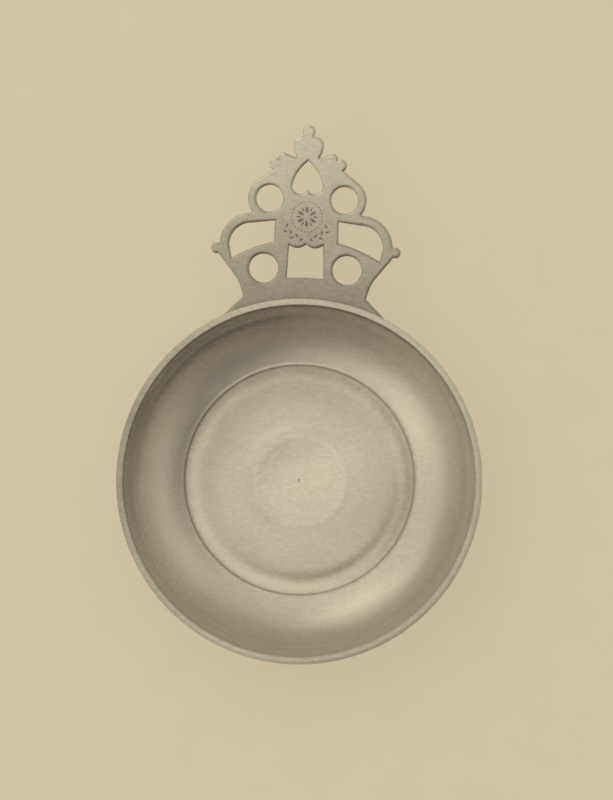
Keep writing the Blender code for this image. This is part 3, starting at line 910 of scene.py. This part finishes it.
def engraving():
    """Strokes of the rosette, of the pips round it and of the sprigs under it."""
    strokes = []
    for count, start, reach, width, first in (PETALS, DARTS):
        for i in range(count):
            degrees = first + 360 * i / count
            near = on_circle(ROSETTE_AT, start, degrees)
            strokes.append(stroke(near, on_circle(ROSETTE_AT, start + reach, degrees), width))
    for i in range(BORDER_PIPS):
        degrees = 360 * i / BORDER_PIPS
        middle = on_circle(ROSETTE_AT, BORDER_RADIUS, degrees)
        strokes.append(stroke(*ends(middle, BORDER_PIP[0], degrees + 90), BORDER_PIP[1]))
    stem_length = math.dist(SPRIG_START, SPRIG_BEND) + math.dist(SPRIG_BEND, SPRIG_END)
    stem = curve(SPRIG_START, SPRIG_BEND, SPRIG_END, stem_length / SPRIG_LEAVES)
    for i, (before, after) in enumerate(zip(stem, stem[1:])):
        along = math.degrees(math.atan2(after[1] - before[1], after[0] - before[0]))
        lean = along + (SPRIG_LEAN if i % 2 else -SPRIG_LEAN)
        middle = on_circle(before, SPRIG_LEAF[0] / 2, lean)
        leaf = stroke(*ends(middle, SPRIG_LEAF[0], lean), SPRIG_LEAF[1])
        strokes += [leaf, mirrored(leaf)]
    return strokes


def add_loop(work, points, level):
    """A closed ring of edges through points of the handle's plan."""
    corners = [work.verts.new(Vector((x, y + RIM_RADIUS, level)) * PLATE_SCALE) for x, y in points]
    return [work.edges.new(pair) for pair in zip(corners, corners[1:] + corners[:1])]


def clockwise(points):
    """The closed loop, turned so that its inside lies to its right."""
    area = sum(a[0] * b[1] - b[0] * a[1] for a, b in zip(points, points[1:] + points[:1]))
    return points if area < 0 else points[::-1]


def into_plate(points, depth):
    """Closed loop moved to its right by depth, without points that would fold over each other in a bend."""
    moved = set_off(points[-1:] + points + points[:1], depth, EDGE_MITRE)[1:-1]
    least = FOLD_LIMIT * depth
    return [point for point in moved if min(math.dist(point, other) for other in points) > least]


def rounded_rim(work, points, sizes, half):
    """Side of the plate's upper half along one loop: upright, filed round, then a narrow flat border."""
    ring = add_loop(work, points, half - sizes.edge_height)
    side = bmesh.ops.extrude_edge_only(work, edges=ring)["geom"]
    for corner in (item for item in side if isinstance(item, bmesh.types.BMVert)):
        corner.co.z = 0.0
    turns = [math.pi / 2 * (i + 1) / EDGE_STEPS for i in range(EDGE_STEPS)]
    steps = [(1 - math.cos(turn) ** EDGE_BEVEL, math.sin(turn) ** EDGE_BEVEL) for turn in turns]
    for inward, upward in [*steps, (EDGE_BORDER, 1.0)]:
        level = half - sizes.edge_height * (1 - upward)
        inner = add_loop(work, into_plate(points, inward * sizes.edge_width), level)
        bmesh.ops.triangle_fill(work, edges=ring + inner, use_beauty=True, normal=(0, 0, 1))
        ring = inner


def handle_plate(sizes, seat):
    """Sides of the pierced plate with rounded edges, from z = 0 down: half is raised, then mirrored."""
    half = sizes.root_thickness / 2
    work = bmesh.new()
    rounded_rim(work, clockwise(outer_edge(seat)), sizes, half)
    for points in piercings():
        rounded_rim(work, clockwise(points)[::-1], sizes, half)
    everything = work.verts[:] + work.edges[:] + work.faces[:]
    bmesh.ops.mirror(work, geom=everything, axis="Z", merge_dist=POINT_MERGE)
    bmesh.ops.translate(work, verts=work.verts[:], vec=(0, 0, -half * PLATE_SCALE))
    return work


def engrave(work, depth):
    """Fills the plate's back, and its top around the strokes, and sinks the middle of each stroke."""
    layer = work.verts.layers.float["tarnish"]
    border = [edge for edge in work.edges if edge.is_boundary]
    middle = sum(edge.verts[0].co.z for edge in border) / len(border)
    top = [edge for edge in border if edge.verts[0].co.z > middle]
    back = [edge for edge in border if edge.verts[0].co.z < middle]
    bmesh.ops.triangle_fill(work, edges=back, use_beauty=True, normal=(0, 0, 1))
    loops = [add_loop(work, points, 0.0) for points in engraving()]
    edges = top + [edge for loop in loops for edge in loop]
    bmesh.ops.triangle_fill(work, edges=edges, use_beauty=True, normal=(0, 0, 1))
    cuts = bmesh.ops.edgeloop_fill(work, edges=[edge for loop in loops for edge in loop])["faces"]
    sunk = bmesh.ops.poke(work, faces=cuts, offset=0.0, center_mode="MEAN_WEIGHTED")["verts"]
    for vertex in sunk:
        vertex.co.z = -depth * PLATE_SCALE
        vertex[layer] = ENGRAVED_TARNISH
    bmesh.ops.scale(work, verts=work.verts[:], vec=[1 / PLATE_SCALE] * 3)


class PORRINGER_OT_handle(Operator):
    """Builds the cast, pierced handle with filed edges and an engraved rosette"""

    bl_idname = "porringer.add_handle"
    bl_label = "Pierced handle"

    def execute(self, context):
        bowl = context.scene.porringer_bowl
        sizes = context.scene.porringer_handle
        finish = context.scene.porringer_finish
        bottom = sizes.top - sizes.root_thickness
        seat = outside_radius(bowl, sizes.top, bowl.lap)
        lean = outside_radius(bowl, bottom, bowl.lap) - seat
        work = handle_plate(sizes, seat)
        layer = work.verts.layers.float.new("tarnish")
        engrave(work, sizes.cut_depth)
        for vertex in work.verts:
            if -vertex.co.z >= sizes.edge_height:
                vertex[layer] = HANDLE_SIDE_TARNISH
            depth = -vertex.co.z / sizes.root_thickness
            plan = vertex.co.xy
            if plan.length < seat + 2 * sizes.edge_width:
                plan *= 1 + lean * depth / plan.length
            along = min(1.0, max(0.0, (plan.y - RIM_RADIUS) / sizes.reach))
            thickness = sizes.root_thickness + (sizes.tip_thickness - sizes.root_thickness) * along
            level = -depth * thickness if depth > 0.5 else vertex.co.z
            vertex.co = (plan.x, plan.y, level)
        bmesh.ops.recalc_face_normals(work, faces=work.faces[:])
        bmesh.ops.translate(work, verts=work.verts[:], vec=BOWL_AXIS + Vector((0, 0, sizes.top)))
        # Cast silver with painted shade that darkens the handle towards its root
        material = silver_material(
            "cast_silver", finish.bright, finish.handle_roughness, hammered=0.35, overall=0.06, shade_to_root=True
        )
        finish_piece("pierced_handle", work, material, "handle", crease=24)
        return {"FINISHED"}


class PORRINGER_OT_root_solder(Operator):
    """Sweeps the fillet of solder under the handle's root"""

    bl_idname = "porringer.add_root_solder"
    bl_label = "Solder under the handle"

    def execute(self, context):
        bowl = context.scene.porringer_bowl
        sizes = context.scene.porringer_handle
        finish = context.scene.porringer_finish
        top = sizes.top - sizes.root_thickness + bowl.lap
        low = top - sizes.solder_drop
        corner = (outside_radius(bowl, top, bowl.lap), top)
        far = (corner[0] + sizes.solder_leg, top)
        foot = (outside_radius(bowl, low, bowl.lap), low)
        hollow = tuple((Vector(corner) * 2 + Vector(far) + Vector(foot)) / 4)
        section = joined([corner], curve(far, hollow, foot, FILLET_STEP))
        half_turn = math.radians(ROOT_HALF_ANGLE)
        work = bmesh.new()
        layer = work.verts.layers.float.new("tarnish")
        face = work.faces.new([work.verts.new((0.0, radius, level)) for radius, level in section])
        for vertex in work.verts:
            vertex[layer] = SOLDER_TARNISH
        bmesh.ops.rotate(work, verts=work.verts[:], matrix=Matrix.Rotation(-half_turn, 3, "Z"))
        bmesh.ops.spin(work, geom=[face], axis=(0, 0, 1), angle=2 * half_turn, steps=ROOT_SOLDER_STEPS)
        bmesh.ops.recalc_face_normals(work, faces=work.faces[:])
        bmesh.ops.translate(work, verts=work.verts[:], vec=BOWL_AXIS)
        solder = silver_material("root_solder", finish.solder, finish.solder_roughness)
        finish_piece("root_solder_fillet", work, solder, "handle_solder_seam")
        return {"FINISHED"}


def mixed_shaders(tree, factor, first, second, output):
    """Feeds a blend of two shaders to an output node."""
    made = add_node(tree, "ShaderNodeMixShader")
    for socket, value in zip(made.inputs, (factor, first.outputs[0], second.outputs[0])):
        feed(tree, socket, value)
    tree.links.new(made.outputs[0], output.inputs["Surface"])


def floor_material(rgb, glow):
    """Plain matt floor with the faintest mottling, kept pale by a share of glow under the object's shadow."""
    material = bpy.data.materials.new("studio_floor")
    material.use_nodes = True
    tree = material.node_tree
    shader = tree.nodes["Principled BSDF"]
    shader.inputs["Roughness"].default_value = 0.95
    shader.inputs["Specular IOR Level"].default_value = 0.0
    place = add_node(tree, "ShaderNodeTexCoord").outputs["Object"]
    mottling = add_node(tree, "ShaderNodeTexNoise", Vector=place, Scale=60.0, Detail=5.0).outputs[0]
    darker = opaque([FLOOR_MOTTLING * value for value in rgb])
    mottled = blended(tree, mottling, darker, opaque(rgb))
    tree.links.new(mottled, shader.inputs["Base Color"])
    pale = add_node(tree, "ShaderNodeEmission", Color=mottled, Strength=1.0)
    ray = add_node(tree, "ShaderNodeLightPath").outputs
    mirrored_ray = calculate(tree, "MAXIMUM", ray["Is Glossy Ray"], ray["Is Transmission Ray"])
    seen = calculate(tree, "MAXIMUM", ray["Is Camera Ray"], mirrored_ray)
    mixed_shaders(tree, calculate(tree, "MULTIPLY", seen, glow), shader, pale, tree.nodes["Material Output"])
    return material


def from_overhead(azimuth, lean):
    """Direction at an azimuth from +X and at an angle from overhead, in degrees."""
    flat = math.sin(math.radians(lean))
    turn = math.radians(azimuth)
    return Vector((flat * math.cos(turn), flat * math.sin(turn), math.cos(math.radians(lean))))


def panel(tree, direction, towards, width, strength):
    """Brightness that fades from a direction of the room to nothing at an angle of width from it."""
    facing = add_node(tree, "ShaderNodeVectorMath", {"operation": "DOT_PRODUCT"})
    feed(tree, facing.inputs[0], direction)
    feed(tree, facing.inputs[1], towards)
    return spread(tree, facing.outputs["Value"], math.cos(math.radians(width)), 1.0, 0.0, strength)


def light_room(stage):
    """Plain room with soft panels and a dark side."""
    world = bpy.data.worlds.new("studio_room")
    bpy.context.scene.world = world
    world.use_nodes = True
    tree = world.node_tree
    tree.nodes.clear()
    direction = add_node(tree, "ShaderNodeTexCoord").outputs["Generated"]
    brightness = stage.horizon
    for azimuth, lean, width, strength in ROOM_PANELS:
        glow = panel(tree, direction, from_overhead(azimuth, lean), width, strength)
        brightness = calculate(tree, "ADD", brightness, glow)
    brightness = calculate(tree, "MAXIMUM", brightness, stage.dark_side)
    room = add_node(tree, "ShaderNodeBackground", Color=opaque(stage.room), Strength=brightness)
    add_node(tree, "ShaderNodeOutputWorld", Surface=room.outputs[0])


def add_floor(stage):
    """Round floor that turns up at its edge, so that it has no horizon."""
    wall = FLOOR_RADIUS + COVE_WIDTH
    cove = curve((FLOOR_RADIUS, 0.0), (wall, 0.0), (wall, COVE_HEIGHT), COVE_STEP)
    work = turned([(0.0, 0.0), *cove], False, FLOOR_STEPS, lambda point: 0.0)
    for face in work.faces:
        face.smooth = True
    mesh = bpy.data.meshes.new("studio_floor")
    work.to_mesh(mesh)
    work.free()
    mesh.materials.append(floor_material(stage.floor, stage.glow))
    floor = bpy.data.objects.new("studio_floor", mesh)
    bpy.context.scene.collection.objects.link(floor)
    floor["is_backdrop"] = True


def add_key(stage):
    """Soft square lamp that lights the floor and isn't mirrored in the silver."""
    towards_key = from_overhead(*KEY_AT)
    lamp = bpy.data.lights.new("soft_key", "AREA")
    lamp.size = stage.key_size
    lamp.energy = stage.key_radiance * math.pi * stage.key_size**2
    key = bpy.data.objects.new("soft_key", lamp)
    key.location = BOWL_AXIS + towards_key * stage.key_distance
    key.rotation_euler = towards_key.to_track_quat("Z", "Y").to_euler()
    key.visible_camera = False
    key.visible_glossy = False
    bpy.context.scene.collection.objects.link(key)


def add_camera(stage):
    """Camera that looks straight down, far enough off to see little of the outside."""
    camera_data = bpy.data.cameras.new("straight_above")
    camera_data.lens = camera_data.sensor_width * stage.camera_height / stage.frame_height
    camera_data.clip_end = 100.0
    camera = bpy.data.objects.new("straight_above", camera_data)
    camera.location = (*stage.frame_middle, RIM_HIGH.z + stage.camera_height)
    camera.rotation_euler = (0.0, 0.0, stage.lean)
    bpy.context.scene.collection.objects.link(camera)
    bpy.context.scene.camera = camera


class PORRINGER_OT_stage(Operator):
    """Sets up the floor, the soft lamp, the room and the camera straight above"""

    bl_idname = "porringer.add_stage"
    bl_label = "Floor, light and camera"

    def execute(self, context):
        stage = context.scene.porringer_stage
        context.scene.view_settings.view_transform = "Standard"
        add_floor(stage)
        light_room(stage)
        add_key(stage)
        add_camera(stage)
        return {"FINISHED"}


OPERATORS = (
    PORRINGER_OT_bowl,
    PORRINGER_OT_rim_wire,
    PORRINGER_OT_foot,
    PORRINGER_OT_handle,
    PORRINGER_OT_root_solder,
    PORRINGER_OT_stage,
)


class PORRINGER_PT_sidebar(Panel):
    """Lists the porringer's pieces, sizes, finishes and stage"""

    bl_idname = "PORRINGER_PT_sidebar"
    bl_label = "Silver Porringer"
    bl_space_type = "VIEW_3D"
    bl_region_type = "UI"
    bl_category = "Porringer"

    def draw(self, context):
        layout = self.layout
        for operator in OPERATORS:
            layout.operator(operator.bl_idname)
        scene = context.scene
        groups = (scene.porringer_bowl, scene.porringer_handle, scene.porringer_finish, scene.porringer_stage)
        for group in groups:
            box = layout.box()
            for name in group.__annotations__:
                box.prop(group, name)


CLASSES = (BowlSizes, HandleSizes, SilverFinish, StudioStage, *OPERATORS, PORRINGER_PT_sidebar)


def register():
    for cls in CLASSES:
        bpy.utils.register_class(cls)
    bpy.types.Scene.porringer_bowl = PointerProperty(type=BowlSizes)
    bpy.types.Scene.porringer_handle = PointerProperty(type=HandleSizes)
    bpy.types.Scene.porringer_finish = PointerProperty(type=SilverFinish)
    bpy.types.Scene.porringer_stage = PointerProperty(type=StudioStage)


def unregister():
    del bpy.types.Scene.porringer_stage
    del bpy.types.Scene.porringer_finish
    del bpy.types.Scene.porringer_handle
    del bpy.types.Scene.porringer_bowl
    for cls in reversed(CLASSES):
        bpy.utils.unregister_class(cls)


def main():
    """Registers the classes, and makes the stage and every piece."""
    register()
    bpy.ops.porringer.add_stage()
    bpy.ops.porringer.add_bowl()
    bpy.ops.porringer.add_rim_wire()
    bpy.ops.porringer.add_foot()
    bpy.ops.porringer.add_handle()
    bpy.ops.porringer.add_root_solder()
    boxes = {"solids": SOLIDS_BOX, "visual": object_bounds()}
    {name: [list(corner) for corner in box] for name, box in boxes.items()}


if __name__ == "__main__":
    main()
